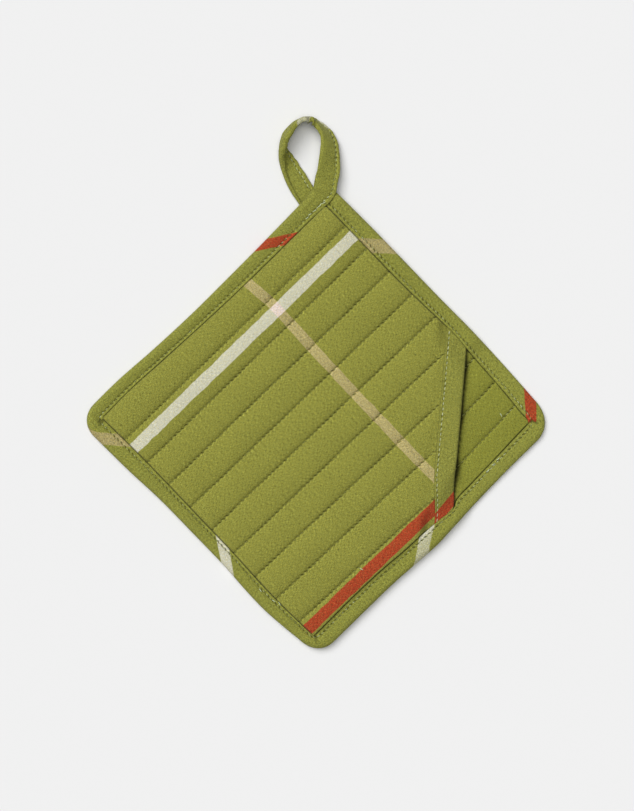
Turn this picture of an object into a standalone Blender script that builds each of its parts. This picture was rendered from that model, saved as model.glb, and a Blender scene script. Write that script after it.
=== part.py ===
"""A quilted pot holder with a corner pocket and a hanging loop, lying flat on a surface.

It is a square turned by 45 degrees, with its loop corner along +Y and its pocket corner along +X. The
square's own frame has x along the quilting lines and y across them, towards the side that runs up to the
loop from the left. Everything is worked out there in millimetres, and an empty turns it into place. The
surface that it lies on is z = 0, and the origin is the middle of the square's back.
"""

import math
from collections import namedtuple

import bmesh
import bpy
from mathutils import Matrix, Vector

# Sizes, in millimetres and degrees.
MM = 0.001
TURN = 45  # of the square about Z
GAP = 0.3  # between sewn pieces

WALL = 0.9  # the folded binding cloth
RIM_INSET = 3.0  # from the binding's outer edge to the panels' cut edges
RIDGE = 0.8  # from the binding's inner fold to the top of its free ridge
STITCH = 2.1  # from the binding's inner fold to its line of stitches
STITCH_DEPTH = 0.45
EDGE_ROUND = 3.2  # how far in the binding's outer edge is rounded

BACK_RIM = (1.2, 3.2)  # heights of the back panel's lower and upper faces in the binding
BACK_FULL = (0.0, 4.05)  # the same at the crest of a puff
BACK_CHANNEL = 1.0  # depth of its sewn channels, above and below
POCKET_RIM = (3.65, 5.75)
POCKET_FULL = (4.55, 9.4)
POCKET_CHANNEL = 1.7
POCKET_UNDER = 0.5  # depth of the channels in the pocket panel's lower face
SOFTEN = 8.5  # how far inside the binding a panel reaches its full thickness

CHANNEL_SIDE = 3.6  # from a line of quilting to where the puff's slope eases
UNEVEN = 0.18  # how much the puffs differ in height

MOUTH_BAND = 13.0  # width of the mouth binding
MOUTH_WALL = (0.5, 0.75)  # its cloth, at its tucked ends and in the middle
MOUTH_INSET = 2.0  # from its outer edge to the pocket panel's cut edge
MOUTH_TUCK = 4.0  # how far its ends run under the edge binding
MOUTH_STOPS = (0.0, 5.7, 9.5, 13.5, 18.0, 23.5, 30.0)  # its sections' places from either end
MOUTH_MIDDLE = 4  # and the number of even steps between them
LIP_END = (4.6, 5.2)  # heights of the pocket panel's faces at the ends of the mouth
LIP_MIDDLE = (7.5, 8.5)  # and in the middle of the mouth
LIP_RISE = 17.0  # how far inside the binding the lip reaches its height
LIP_GAP = (0.55, 0.7)  # between the lip and the band over it, at its ends and in the middle
MOUTH = (Vector((103.6, -34.7)), Vector((26.9, -100.4)))  # the mouth binding's outer edge

LIFT = 2.2  # how far the loop's end, sewn beneath, lifts the top corner
LIFT_FLAT = 34.0  # radius of the lifted part about the corner
LIFT_FADE = 80.0  # how far past it the lift fades out

STRIP_FOLDED = 15.6  # width of the loop's flattened strip

# The four sides of the binding, in the order in which the strip is sewn on. "along" is the place along the
# side, "outer" and "fold" are how far its outer edge and its inner fold lie from the square's middle, and
# "top" is the height of its front. The pocket's layers end where "top" drops.
Edge = namedtuple("Edge", "along outer fold top")
UPPER_RIGHT = (
    Edge(90.0, 113.9, 102.9, 7.0),
    Edge(60.0, 113.9, 102.4, 7.0),
    Edge(30.0, 113.4, 101.9, 7.0),
    Edge(2.0, 112.9, 102.3, 7.0),
    Edge(-14.0, 112.8, 102.8, 7.3),
    Edge(-24.0, 112.8, 102.8, 7.6),
    Edge(-36.5, 112.5, 101.8, 7.4),
    Edge(-44.0, 112.3, 101.3, 4.8),
    Edge(-55.0, 111.8, 100.7, 4.6),
    Edge(-91.0, 109.6, 98.9, 4.6),
)
LOWER_RIGHT = (
    Edge(92.0, 111.2, 99.3, 4.6),
    Edge(60.0, 111.0, 100.6, 4.6),
    Edge(40.0, 111.4, 101.8, 4.7),
    Edge(31.0, 111.7, 103.0, 5.0),
    Edge(23.0, 112.0, 103.6, 7.3),
    Edge(13.0, 112.5, 102.6, 7.6),
    Edge(1.0, 113.1, 101.9, 7.4),
    Edge(-18.0, 112.1, 100.8, 7.0),
    Edge(-38.0, 110.8, 99.2, 7.0),
    Edge(-63.0, 110.3, 98.3, 7.0),
    Edge(-94.0, 110.0, 98.3, 7.0),
)
LOWER_LEFT = (
    Edge(-93.5, 111.0, 100.9, 7.0),
    Edge(-60.0, 111.5, 101.2, 7.0),
    Edge(-45.0, 110.9, 100.6, 7.0),
    Edge(-25.0, 109.6, 99.6, 7.0),
    Edge(5.0, 109.0, 98.8, 7.0),
    Edge(37.0, 108.7, 98.0, 7.0),
    Edge(63.0, 109.7, 97.5, 7.0),
    Edge(95.0, 110.0, 97.8, 7.0),
)
UPPER_LEFT = (
    Edge(-95.0, 109.8, 99.2, 7.0),
    Edge(-76.0, 109.7, 99.4, 7.0),
    Edge(-42.0, 107.6, 97.8, 7.0),
    Edge(-10.0, 106.3, 96.2, 7.0),
    Edge(23.0, 106.1, 94.9, 7.0),
    Edge(60.0, 106.2, 94.4, 7.0),
    Edge(90.0, 106.7, 94.4, 7.0),
)
SIDE_STEP = 18.0  # longest stretch of binding between two sections
CORNER_STEPS = 6
OUTER_CORNER = 0.55  # how round the binding's corners are, outside and at the fold
FOLD_CORNER = 0.9

# The panels' grids: columns near a rim, near the mouth's edge, and how many evenly spread between.
RIM_STEP = 3.5
MOUTH_INSETS = (0, 5.8, 11.8, 18.4)
INNER_COLUMNS = 7

# Radii of the panels' corners inside the binding: left, bottom, right, and the top one under the loop.
PANEL_CORNERS = {"left": 12.0, "bottom": 13.5, "right": 16.0, "top": 28.0}

# Lines of quilting, each by its height in the square's frame at the left and the right edge.
Line = namedtuple("Line", "left right")
LINE_ENDS = (-97.5, 102.0)
POCKET_LINES = (
    Line(80.0, 76.9),
    Line(59.3, 56.7),
    Line(39.3, 35.8),
    Line(19.0, 15.0),
    Line(-1.3, -6.0),
    Line(-22.1, -27.0),
    Line(-42.6, -49.3),
    Line(-62.6, -69.5),
    Line(-83.7, -92.1),
)
LINE_PITCH = 20.3
BACK_FIRST = Line(72.7, 78.8)  # the back panel's lines, which slope the other way
BACK_LINES = tuple(
    Line(BACK_FIRST.left - i * LINE_PITCH, BACK_FIRST.right - i * LINE_PITCH)
    for i in range(9)
)

# The binding's slanted first section, beside the loop's root, and the strip that leaves the upper left side
# and becomes the loop, while it still wraps the panels' corner: the ends of each section, at its outer edge
# and at its fold, in the square's frame.
Wrap = namedtuple("Wrap", "outer_x outer_y fold_x fold_y")
START_WRAP = Wrap(113.9, 94.8, 102.9, 92.9)
CORNER_WRAP = (
    Wrap(90.3, 106.7, 90.3, 94.4),
    Wrap(96.5, 107.1, 98.2, 94.3),
    Wrap(102.1, 107.9, 105.6, 93.9),
)

# The free loop, in the turned frame, seen from above: the middle of the strip, the roll of its stitched half
# about its own direction (0 is face up, 90 on its stitched edge, 180 face down), and a crease along it, with
# its angle and its distance from the stitched edge.
Strip = namedtuple("Strip", "x y z roll crease crease_at thick")
LOOP = (
    Strip(5.5, 149.4, 8.4, 5, 0, 8, 3.2),
    Strip(7.0, 155.1, 9.4, 13, 0, 8, 3.0),
    Strip(8.1, 161.5, 10.2, 23, 0, 8, 3.0),
    Strip(8.8, 168.3, 10.6, 33, 0, 8, 3.0),
    Strip(8.7, 175.2, 10.5, 41, 0, 8, 3.0),
    Strip(7.5, 182.9, 9.6, 49, 0, 8, 3.0),
    Strip(4.3, 190.2, 8.7, 66, 0, 8, 3.0),
    Strip(0.4, 194.1, 8.4, 80, 0, 6, 3.1),
    Strip(-4.0, 195.6, 8.2, 89, 0, 3, 3.2),
    Strip(-8.2, 195.1, 8.2, 92, 0, 1.5, 3.2),
    Strip(-12.2, 193.0, 8.2, 95, 0, 1.5, 3.2),
    Strip(-15.6, 189.8, 8.2, 98, 0, 1.5, 3.3),
    Strip(-18.8, 185.4, 8.2, 102, 0, 1.5, 3.4),
    Strip(-20.6, 181.6, 8.1, 105, 2, 1.5, 3.4),
    Strip(-21.6, 177.4, 8.1, 113, 12, 1.7, 3.2),
    Strip(-21.6, 173.2, 6.6, 154, 48, 2.7, 3.0),
    Strip(-21.0, 168.4, 4.4, 173, 64, 5.0, 2.8),
    Strip(-19.5, 162.9, 2.7, 180, 67, 6.7, 2.6),
    Strip(-16.5, 157.0, 1.75, 180, 65, 8.3, 2.5),
    Strip(-12.5, 150.7, 1.25, 180, 61, 9.6, 2.3),
    Strip(-8.5, 144.6, 1.0, 180, 58, 10.4, 1.9),
    Strip(-5.4, 138.2, 0.95, 180, 0, 13, 1.8),
    Strip(-3.4, 133.9, 0.95, 180, 0, 13, 1.8),
)
LOOP_STEPS = 2  # sections for each row of the table
CREASE_ROUND = 1.8  # radius of the crease in the middle of the cloth

# Colours, roughness and names of the cloths.
CLOTHS = {
    "back_panel": (0.205, 0.215, 0.038),
    "pocket_panel": (0.250, 0.262, 0.052),
    "mouth_binding": (0.225, 0.237, 0.048),
    "edge_binding": (0.230, 0.243, 0.047),
    "hanging_loop": (0.222, 0.235, 0.045),
}
ROUGHNESS = 0.9


def clamp(value, low=0.0, high=1.0):
    return max(low, min(high, value))


def ease(value):
    """0 below 0, 1 above 1, and smooth between."""
    value = clamp(value)
    return value * value * (3 - 2 * value)


def mix(a, b, share):
    return a + (b - a) * share


def curve_through(rows, place, at, column):
    """A column of a table, read smoothly between its rows, which the column called place puts in order."""
    spots = [getattr(row, place) for row in rows]
    values = [getattr(row, column) for row in rows]
    if spots[0] > spots[-1]:
        spots, values = spots[::-1], values[::-1]
    at = clamp(at, spots[0], spots[-1])
    i = max(k for k in range(len(spots) - 1) if spots[k] <= at)

    def slope(k):
        low, high = max(k - 1, 0), min(k + 1, len(spots) - 1)
        return (values[high] - values[low]) / (spots[high] - spots[low])

    span = spots[i + 1] - spots[i]
    t = (at - spots[i]) / span
    return (
        values[i] * (2 * t**3 - 3 * t**2 + 1)
        + values[i + 1] * (3 * t**2 - 2 * t**3)
        + slope(i) * span * (t**3 - 2 * t**2 + t)
        + slope(i + 1) * span * (t**3 - t**2)
    )


def side_line(side, at, column):
    return curve_through(side, "along", at, column)


def lift(x, y):
    """How far the loop's end, which lies beneath the top corner, lifts the cloth at this place."""
    corner = Vector((UPPER_RIGHT[0].outer, UPPER_LEFT[-1].outer))
    away = (Vector((x, y)) - corner).length
    return LIFT * ease(1 - (away - LIFT_FLAT) / LIFT_FADE)


def unevenness(x, y):
    return UNEVEN * (math.sin(x / 17 + 1.3 * math.sin(y / 23)) + math.sin(y / 11 + x / 41)) / 2


# ---- the panels ----


def line_height(line, x):
    return mix(line.left, line.right, (x - LINE_ENDS[0]) / (LINE_ENDS[1] - LINE_ENDS[0]))


def channel(lines, x, y):
    """1 on a line of quilting, falling to 0 at the crest of the puffs beside it."""
    away = min(abs(y - line_height(line, x)) for line in lines)
    near = clamp(1 - away / CHANNEL_SIDE)
    return 0.72 * near + 0.28 * clamp(1 - away / (LINE_PITCH / 2)) ** 2


def freedom(x, y):
    """0 inside the edge binding, and 1 where a panel has its full thickness."""
    inside = (
        side_line(UPPER_LEFT, x, "fold") - y,
        y + side_line(LOWER_RIGHT, x, "fold"),
        side_line(UPPER_RIGHT, y, "fold") - x,
        x + side_line(LOWER_LEFT, y, "fold"),
    )
    return math.prod(ease((d - GAP) / SOFTEN) for d in inside)


def mouth_distance(x, y):
    """How far a place lies inside the mouth binding's outer edge."""
    run = (MOUTH[1] - MOUTH[0]).normalized()
    return (Vector((x, y)) - MOUTH[0]).dot(Vector((run.y, -run.x)))


def lip_heights(x, y):
    """The pocket panel's lower and upper faces along its mouth, which stands off the back panel."""
    inside = min(
        side_line(UPPER_RIGHT, y, "fold") - x, y + side_line(LOWER_RIGHT, x, "fold")
    )
    share = ease(inside / LIP_RISE)
    return [mix(end, middle, share) for end, middle in zip(LIP_END, LIP_MIDDLE)]


def back_heights(x, y):
    free, sewn = freedom(x, y), channel(BACK_LINES, x, y)
    low = mix(BACK_RIM[0], BACK_FULL[0] + BACK_CHANNEL * clamp(1.6 * sewn - 0.6), free)
    high = mix(BACK_RIM[1], BACK_FULL[1] - BACK_CHANNEL * sewn, free)
    return low + lift(x, y), high + lift(x, y)


def pocket_heights(x, y):
    free, sewn = freedom(x, y), channel(POCKET_LINES, x, y)
    low = mix(POCKET_RIM[0], POCKET_FULL[0] + POCKET_UNDER * sewn, free)
    high = POCKET_FULL[1] + unevenness(x, y) - POCKET_CHANNEL * sewn
    high = mix(POCKET_RIM[1], high, free)
    at_mouth = 1 - ease((mouth_distance(x, y) - MOUTH_BAND - GAP) / SOFTEN)
    lip = lip_heights(x, y)
    low, high = mix(low, lip[0], at_mouth), mix(high, lip[1], at_mouth)
    return low + lift(x, y), high + lift(x, y)


def panel_rows(lines):
    """The rows of a panel's grid, from the lower right side to the upper left one. Each is a function of x."""

    def by_edge(side, sign, depth):
        return lambda x: sign * (side_line(side, x, "outer") - RIM_INSET - depth)

    def by_fold(side, sign):
        return lambda x: sign * (side_line(side, x, "fold") - GAP)

    def by_line(line, offset):
        return lambda x: line_height(line, x) + offset

    def between(low, high):
        return lambda x: (low(x) + high(x)) / 2

    ordered = sorted(lines, key=lambda line: line.left)
    first, last = by_fold(LOWER_RIGHT, -1), by_fold(UPPER_LEFT, 1)
    rows = [by_edge(LOWER_RIGHT, -1, 0), by_edge(LOWER_RIGHT, -1, 3.5), first]
    rows.append(between(first, by_line(ordered[0], -CHANNEL_SIDE)))
    for i, line in enumerate(ordered):
        rows += [by_line(line, offset) for offset in (-CHANNEL_SIDE, 0, CHANNEL_SIDE)]
        after = ordered[i + 1] if i + 1 < len(ordered) else None
        beyond = by_line(after, -CHANNEL_SIDE) if after else last
        rows.append(between(by_line(line, CHANNEL_SIDE), beyond))
    return rows + [last, by_edge(UPPER_LEFT, 1, 3.5), by_edge(UPPER_LEFT, 1, 0)]


def corner_cut(radius, depth):
    """How much a rounded corner takes off a row that lies this deep inside the panel."""
    return radius - math.sqrt(max(radius**2 - max(radius - depth, 0) ** 2, 0))


def row_end(row, sign, mouth):
    """Where a row meets the panel's cut edge at its right end, sign 1, or its left one, sign -1."""
    side = UPPER_RIGHT if sign > 0 else LOWER_LEFT
    corners = ("right", "top") if sign > 0 else ("bottom", "left")
    x = sign * 100.0
    for _ in range(4):
        y = row(x)
        depths = (
            y + side_line(LOWER_RIGHT, x, "outer") - RIM_INSET,
            side_line(UPPER_LEFT, x, "outer") - RIM_INSET - y,
        )
        cut = max(corner_cut(PANEL_CORNERS[c], d) for c, d in zip(corners, depths))
        x = sign * (side_line(side, y, "outer") - RIM_INSET - cut)
    if mouth and sign > 0:
        for _ in range(4):
            over = MOUTH_INSET - mouth_distance(x, row(x))
            x -= max(over, 0) / abs((MOUTH[1] - MOUTH[0]).normalized().y)
    return x


def row_places(row, mouth):
    """The grid's places along a row: close together at its ends, and evenly spread between."""
    left, right, cut = row_end(row, -1, mouth), row_end(row, 1, mouth), 0
    if mouth:
        cut = row_end(row, 1, False) - right
    edge_insets = []
    for end, side in ((left, LOWER_LEFT), (right + cut, UPPER_RIGHT)):
        to_fold = max(abs(end) - side_line(side, row(end), "fold") + GAP, 2 * RIM_STEP)
        edge_insets.append((0, RIM_STEP, to_fold, to_fold + SOFTEN))
    starts = [left + inset for inset in edge_insets[0]]
    insets = [mix(a, b, ease(cut / 15)) for a, b in zip(edge_insets[1], MOUTH_INSETS)]
    ends = [right - inset for inset in reversed(insets)]
    step = (ends[0] - starts[-1]) / (INNER_COLUMNS + 1)
    return starts + [starts[-1] + step * (i + 1) for i in range(INNER_COLUMNS)] + ends


def make_panel(name, lines, heights, mouth):
    """A closed sheet with sewn channels: a grid that is extruded once and bent to the panel's two faces."""
    rows = panel_rows(lines)
    across = 2 * len(MOUTH_INSETS) + INNER_COLUMNS
    bm = bmesh.new()
    bmesh.ops.create_grid(
        bm, x_segments=across - 1, y_segments=len(rows) - 1, size=1.0
    )
    grown = bmesh.ops.extrude_face_region(bm, geom=bm.faces[:], use_keep_orig=True)
    upper = {item for item in grown["geom"] if isinstance(item, bmesh.types.BMVert)}
    places = [row_places(row, mouth) for row in rows]
    for vert in bm.verts:
        i = round((vert.co.x + 1) / 2 * (across - 1))
        j = round((vert.co.y + 1) / 2 * (len(rows) - 1))
        x = places[j][i]
        y = rows[j](x)
        vert.co = (x, y, heights(x, y)[vert in upper])
    return finish(bm, name)


# ---- the bindings and the loop ----


def loft(name, sections):
    """A closed solid through sections that each have the same number of points."""
    bm = bmesh.new()
    rings = [[bm.verts.new(point) for point in section] for section in sections]
    for near, far in zip(rings, rings[1:]):
        for i in range(len(near)):
            bm.faces.new((near[i - 1], near[i], far[i], far[i - 1]))
    bm.faces.new(rings[0])
    bm.faces.new(reversed(rings[-1]))
    return finish(bm, name)


def binding_profile(width, top):
    """The folded strip round the panels' rims, as (distance in from its outer edge, height), open inwards."""
    middle = (EDGE_ROUND + width - 4.4) / 2
    front = [
        (width - 0.2, top - WALL),
        (width, top - WALL / 2),
        (width - RIDGE, top - 0.05),
        (width - STITCH, top - STITCH_DEPTH),
        (width - 4.4, top),
        (middle, top),
        (EDGE_ROUND, top - 0.08),
    ]
    for angle in (58, 22):
        inwards = EDGE_ROUND * (1 - math.cos(math.radians(angle)))
        front.append((inwards, top / 2 * (1 + math.sin(math.radians(angle)))))
    inside = [(1.4, WALL + 1.2), (2.6, WALL)]
    return (
        front
        + [(d, top - z) for d, z in reversed(front)]
        + [(d, z) for d, z in reversed(inside)]
        + [(d, top - z) for d, z in inside]
    )


def wrap_section(wrap, top):
    return binding_section(
        Vector((wrap.outer_x, wrap.outer_y)), Vector((wrap.fold_x, wrap.fold_y)), top
    )


def binding_section(outer, fold, top):
    """The profile stood up between a place on the outer edge and one on the inner fold."""
    inwards = fold - outer
    width = inwards.length
    inwards.normalize()
    section = []
    for distance, height in binding_profile(width, top):
        place = outer + inwards * distance
        section.append((place.x, place.y, height + lift(place.x, place.y)))
    return section


def side_sections(side, across, sign):
    """Sections along one side. across is the axis that the side faces along, and sign its direction."""
    stops = [side[0].along]
    for near, far in zip(side, side[1:]):
        steps = math.ceil(abs(far.along - near.along) / SIDE_STEP)
        stops += [mix(near.along, far.along, (i + 1) / steps) for i in range(steps)]
    found = []
    for along in stops:
        ends = []
        for column in ("outer", "fold"):
            place = Vector((along, along))
            place[across] = sign * side_line(side, along, column)
            ends.append(place)
        found.append((*ends, side_line(side, along, "top")))
    return found


def corner_sections(before, after, corner_axis):
    """Sections round a corner, from the last one of a side to the first one of the next."""
    found = []
    for i in range(1, CORNER_STEPS):
        t = i / CORNER_STEPS
        ends = []
        for column, roundness in ((0, OUTER_CORNER), (1, FOLD_CORNER)):
            start, end = before[column], after[column]
            apex = start.copy()
            apex[corner_axis] = end[corner_axis]
            a, b = start.lerp(apex, roundness), end.lerp(apex, roundness)
            ends.append(
                start * (1 - t) ** 3
                + a * 3 * t * (1 - t) ** 2
                + b * 3 * t**2 * (1 - t)
                + end * t**3
            )
        found.append((*ends, mix(before[2], after[2], t)))
    return found


def make_edge_binding():
    """The strip round all four sides, from under the loop's root clockwise to where it runs on as the loop."""
    sides = [
        side_sections(UPPER_RIGHT, 0, 1),
        side_sections(LOWER_RIGHT, 1, -1),
        side_sections(LOWER_LEFT, 0, -1),
        side_sections(UPPER_LEFT, 1, 1),
    ]
    found = sides[0]
    for axis, side in zip((1, 0, 1), sides[1:]):
        found = found + corner_sections(found[-1], side[0], axis) + side
    sections = [binding_section(*ends) for ends in found]
    return loft("edge_binding", [wrap_section(START_WRAP, UPPER_RIGHT[0].top)] + sections)


def strip_profile(thick):
    """The closed strip, as (distance from its stitched edge, height off its middle), in the binding's order."""
    width, half = STRIP_FOLDED, thick / 2
    middle = (width - EDGE_ROUND + 4.4) / 2
    front = [
        (1.0, 0.14),
        (0.0, 0.3),
        (RIDGE, 0.72 * half),
        (STITCH, 0.62 * half),
        (4.4, half),
        (middle, half),
        (width - EDGE_ROUND, half),
        (width - 1.3, 0.85 * half),
        (width - 0.2, 0.4 * half),
    ]
    slit = [(1.5, 0.05), (1.2, 0.1)]
    return (
        front
        + [(d, -z) for d, z in reversed(front)]
        + [(d, -z) for d, z in reversed(slit)]
        + [(d, z) for d, z in slit]
    )


def strip_section(row, direction):
    """The strip's section at a row of the loop's table, creased and rolled about its own direction."""
    left = Vector((-direction.y, direction.x, 0)).normalized()
    above = direction.cross(left)
    roll, bend = math.radians(row.roll), math.radians(row.crease)
    across = left * math.cos(roll) + above * math.sin(roll)
    face = above * math.cos(roll) - left * math.sin(roll)
    start = row.crease_at - CREASE_ROUND * bend / 2

    def on_cloth(distance, height):
        angle = clamp((distance - start) / CREASE_ROUND, 0, bend) if bend > 0 else 0
        flat = min(distance, start) if bend > 0 else distance
        past = max(distance - start - CREASE_ROUND * bend, 0) if bend > 0 else 0
        u = flat + CREASE_ROUND * math.sin(angle) + past * math.cos(bend)
        w = CREASE_ROUND * (1 - math.cos(angle)) + past * math.sin(bend)
        u, w = u + height * math.sin(angle), -w + height * math.cos(angle)
        return across * u + face * w

    middle = on_cloth(STRIP_FOLDED / 2, 0)
    at = Vector((row.x, row.y, row.z))
    return [at + on_cloth(d, z) - middle for d, z in strip_profile(row.thick)]


def loop_rows():
    """The loop's table, read smoothly between its rows, and the strip's direction at each place."""
    Numbered = namedtuple("Numbered", ("number", *Strip._fields))
    table = [Numbered(i, *row) for i, row in enumerate(LOOP)]

    def read(at):
        return Strip(*(curve_through(table, "number", at, c) for c in Strip._fields))

    last = len(table) - 1
    for i in range(last * LOOP_STEPS + 1):
        at = i / LOOP_STEPS
        near, far = read(max(at - 0.25, 0)), read(min(at + 0.25, last))
        yield read(at), Vector((far.x - near.x, far.y - near.y, far.z - near.z)).normalized()


def make_loop():
    """The rest of the strip: it wraps the panels' top corner, closes, and goes round to the corner's back."""
    sections = [wrap_section(wrap, UPPER_LEFT[-1].top) for wrap in CORNER_WRAP]
    unturn = Matrix.Rotation(-math.radians(TURN), 3, "Z")
    for row, direction in loop_rows():
        sections.append([unturn @ point for point in strip_section(row, direction)])
    return loft("hanging_loop", sections)


def mouth_end(start, run, way):
    """How far along the mouth the band reaches from start before it ends, tucked under the edge binding."""
    reach = 0.0
    for _ in range(12):
        place = start + run * reach
        if way < 0:
            over = side_line(UPPER_RIGHT, place.y, "fold") + MOUTH_TUCK - place.x
            reach -= over / abs(run.x)
        else:
            over = place.y + side_line(LOWER_RIGHT, place.x, "fold") + MOUTH_TUCK
            reach += over / abs(run.y)
    return reach


def make_mouth_binding():
    """The strip folded over the pocket panel's diagonal edge, with its ends under the edge binding."""

    def heights_at(x, y):
        low, high = lip_heights(x, y)
        share = (low - LIP_END[0]) / (LIP_MIDDLE[0] - LIP_END[0])
        wall, gap = mix(*MOUTH_WALL, share), mix(*LIP_GAP, share)
        up, down = high + gap, low - gap
        half = (up + down) / 2
        return {
            "front_under": up,
            "front_fold": up + 0.55 * wall,
            "front": up + wall,
            "front_stitch": up + 0.6 * wall,
            "shoulder": mix(half, up + wall, 0.75),
            "middle": half,
            "back_shoulder": mix(half, down - wall, 0.75),
            "back": down - wall,
            "back_fold": down - 0.55 * wall,
            "back_over": down,
        }

    columns = (
        (MOUTH_BAND - 0.1, "front_under"),
        (MOUTH_BAND, "front_fold"),
        (MOUTH_BAND - 0.7, "front"),
        (MOUTH_BAND - 1.9, "front_stitch"),
        (MOUTH_BAND - 3.8, "front"),
        (3.0, "front"),
        (0.7, "shoulder"),
        (0.0, "middle"),
        (0.7, "back_shoulder"),
        (3.0, "back"),
        (MOUTH_BAND - 0.8, "back"),
        (MOUTH_BAND - 0.1, "back_fold"),
        (MOUTH_BAND - 0.2, "back_over"),
        (1.7, "back_over"),
        (1.3, "middle"),
        (1.7, "front_under"),
    )
    run = (MOUTH[1] - MOUTH[0]).normalized()
    inwards = Vector((run.y, -run.x))
    lengthwise = []
    for distance, height in columns:
        start = MOUTH[0] + inwards * distance
        first, last = mouth_end(start, run, -1), mouth_end(start, run, 1)
        reaches = [first + stop for stop in MOUTH_STOPS]
        for i in range(1, MOUTH_MIDDLE):
            reaches.append(mix(reaches[len(MOUTH_STOPS) - 1], last - MOUTH_STOPS[-1], i / MOUTH_MIDDLE))
        reaches += [last - stop for stop in reversed(MOUTH_STOPS)]
        line = []
        for reach in reaches:
            place = start + run * reach
            line.append((place.x, place.y, heights_at(place.x, place.y)[height]))
        lengthwise.append(line)
    return loft("mouth_binding", list(zip(*lengthwise)))


# ---- the scene ----


def cloth(name):
    material = bpy.data.materials.new(name + "_cloth")
    material.use_nodes = True
    shader = material.node_tree.nodes["Principled BSDF"]
    shader.inputs["Base Color"].default_value = (*CLOTHS[name], 1.0)
    shader.inputs["Roughness"].default_value = ROUGHNESS
    shader.inputs["Metallic"].default_value = 0.0
    material.diffuse_color = (*CLOTHS[name], 1.0)
    return material


def finish(bm, name):
    """Turns a shape in millimetres into a named object in metres, with its faces pointing out."""
    bmesh.ops.scale(bm, vec=(MM, MM, MM), verts=bm.verts)
    bmesh.ops.triangulate(bm, faces=bm.faces, quad_method="SHORT_EDGE")
    bmesh.ops.recalc_face_normals(bm, faces=bm.faces)
    mesh = bpy.data.meshes.new(name)
    bm.to_mesh(mesh)
    bm.free()
    mesh.shade_smooth()
    mesh.set_sharp_from_angle(angle=math.radians(50))
    mesh.materials.append(cloth(name))
    return bpy.data.objects.new(name, mesh)


def main():
    for obj in list(bpy.data.objects):
        bpy.data.objects.remove(obj, do_unlink=True)
    holder = bpy.data.collections.new("pot_holder")
    bpy.context.scene.collection.children.link(holder)
    square = bpy.data.objects.new("square_frame", None)
    square.rotation_euler.z = math.radians(TURN)
    holder.objects.link(square)
    pieces = (
        make_panel("back_panel", BACK_LINES, back_heights, mouth=False),
        make_panel("pocket_panel", POCKET_LINES, pocket_heights, mouth=True),
        make_mouth_binding(),
        make_edge_binding(),
        make_loop(),
    )
    for piece in pieces:
        piece.parent = square
        holder.objects.link(piece)


main()
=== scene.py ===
import math
import bpy
import numpy as np
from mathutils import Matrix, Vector


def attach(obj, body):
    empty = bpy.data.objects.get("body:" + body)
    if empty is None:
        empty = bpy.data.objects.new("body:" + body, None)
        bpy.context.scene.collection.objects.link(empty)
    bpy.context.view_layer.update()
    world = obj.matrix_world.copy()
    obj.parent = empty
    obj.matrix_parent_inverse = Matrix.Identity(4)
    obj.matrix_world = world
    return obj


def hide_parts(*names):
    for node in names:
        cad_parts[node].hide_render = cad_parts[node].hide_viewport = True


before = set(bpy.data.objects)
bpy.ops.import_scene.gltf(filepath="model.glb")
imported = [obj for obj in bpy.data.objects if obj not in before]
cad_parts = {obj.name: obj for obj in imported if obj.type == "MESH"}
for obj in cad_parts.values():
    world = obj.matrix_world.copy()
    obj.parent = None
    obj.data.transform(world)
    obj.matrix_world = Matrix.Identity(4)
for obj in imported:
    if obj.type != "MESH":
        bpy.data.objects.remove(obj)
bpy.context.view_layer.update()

bpy.ops.object.select_all(action="DESELECT")
print("frame loaded")

# Everything is worked out in millimetres in the square's own frame: x runs along the quilting lines, up to the
# right, and y across them, up to the left. toWorld turns it by 45 degrees and into metres.


def toWorld(points):
    points = np.asarray(points, float)
    x, y, z = points[..., 0], points[..., 1], points[..., 2]
    return np.stack([(x - y) * math.sqrt(0.5), (x + y) * math.sqrt(0.5), z], axis=-1) * 0.001


def fromUpright(points):
    # into the square's frame from one that isn't turned
    points = np.asarray(points, float)
    turned = points.copy()
    turned[..., 0] = (points[..., 0] + points[..., 1]) * math.sqrt(0.5)
    turned[..., 1] = (points[..., 1] - points[..., 0]) * math.sqrt(0.5)
    return turned


def ease(value):
    value = np.clip(value, 0, 1)
    return value * value * (3 - 2 * value)


def mix(a, b, share):
    return a + (b - a) * share


def hill(distance, width):
    # 1 at no distance, falling off smoothly on both sides
    return np.exp(-((distance / width) ** 2))


def smoothWay(start, end, leaving, arriving, t):
    return (
        start * (2 * t**3 - 3 * t**2 + 1) + end * (3 * t**2 - 2 * t**3)
        + leaving * (t**3 - 2 * t**2 + t) + arriving * (t**3 - t**2)
    )


def lengthsAlong(points):
    return np.concatenate([[0], np.cumsum(np.linalg.norm(np.diff(points, axis=0), axis=1))])


def smoothTable(spots, values):
    # a line drawn smoothly through a table's rows
    spots, values = np.array(spots, float), np.array(values, float)
    if spots[0] > spots[-1]:
        spots, values = spots[::-1], values[::-1]
    slopes = np.gradient(values, spots)
    at = np.linspace(spots[0], spots[-1], 600)
    i = np.clip(np.searchsorted(spots, at, side="right") - 1, 0, len(spots) - 2)
    span = spots[i + 1] - spots[i]
    t = (at - spots[i]) / span
    drawn = smoothWay(values[i], values[i + 1], slopes[i] * span, slopes[i + 1] * span, t)
    return lambda where: np.interp(where, at, drawn)


def softNoise(x, y, seed):
    # smooth random hills about 1 apart, between -1 and 1
    grid = np.random.RandomState(seed).uniform(-1, 1, (64, 64))
    x, y = np.asarray(x, float) + 500, np.asarray(y, float) + 500
    i, j = np.floor(x).astype(int), np.floor(y).astype(int)
    u, v = ease(x - i), ease(y - j)
    i, j, k, m = i % 64, j % 64, (i + 1) % 64, (j + 1) % 64
    return mix(mix(grid[i, j], grid[k, j], u), mix(grid[i, m], grid[k, m], u), v)


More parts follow.
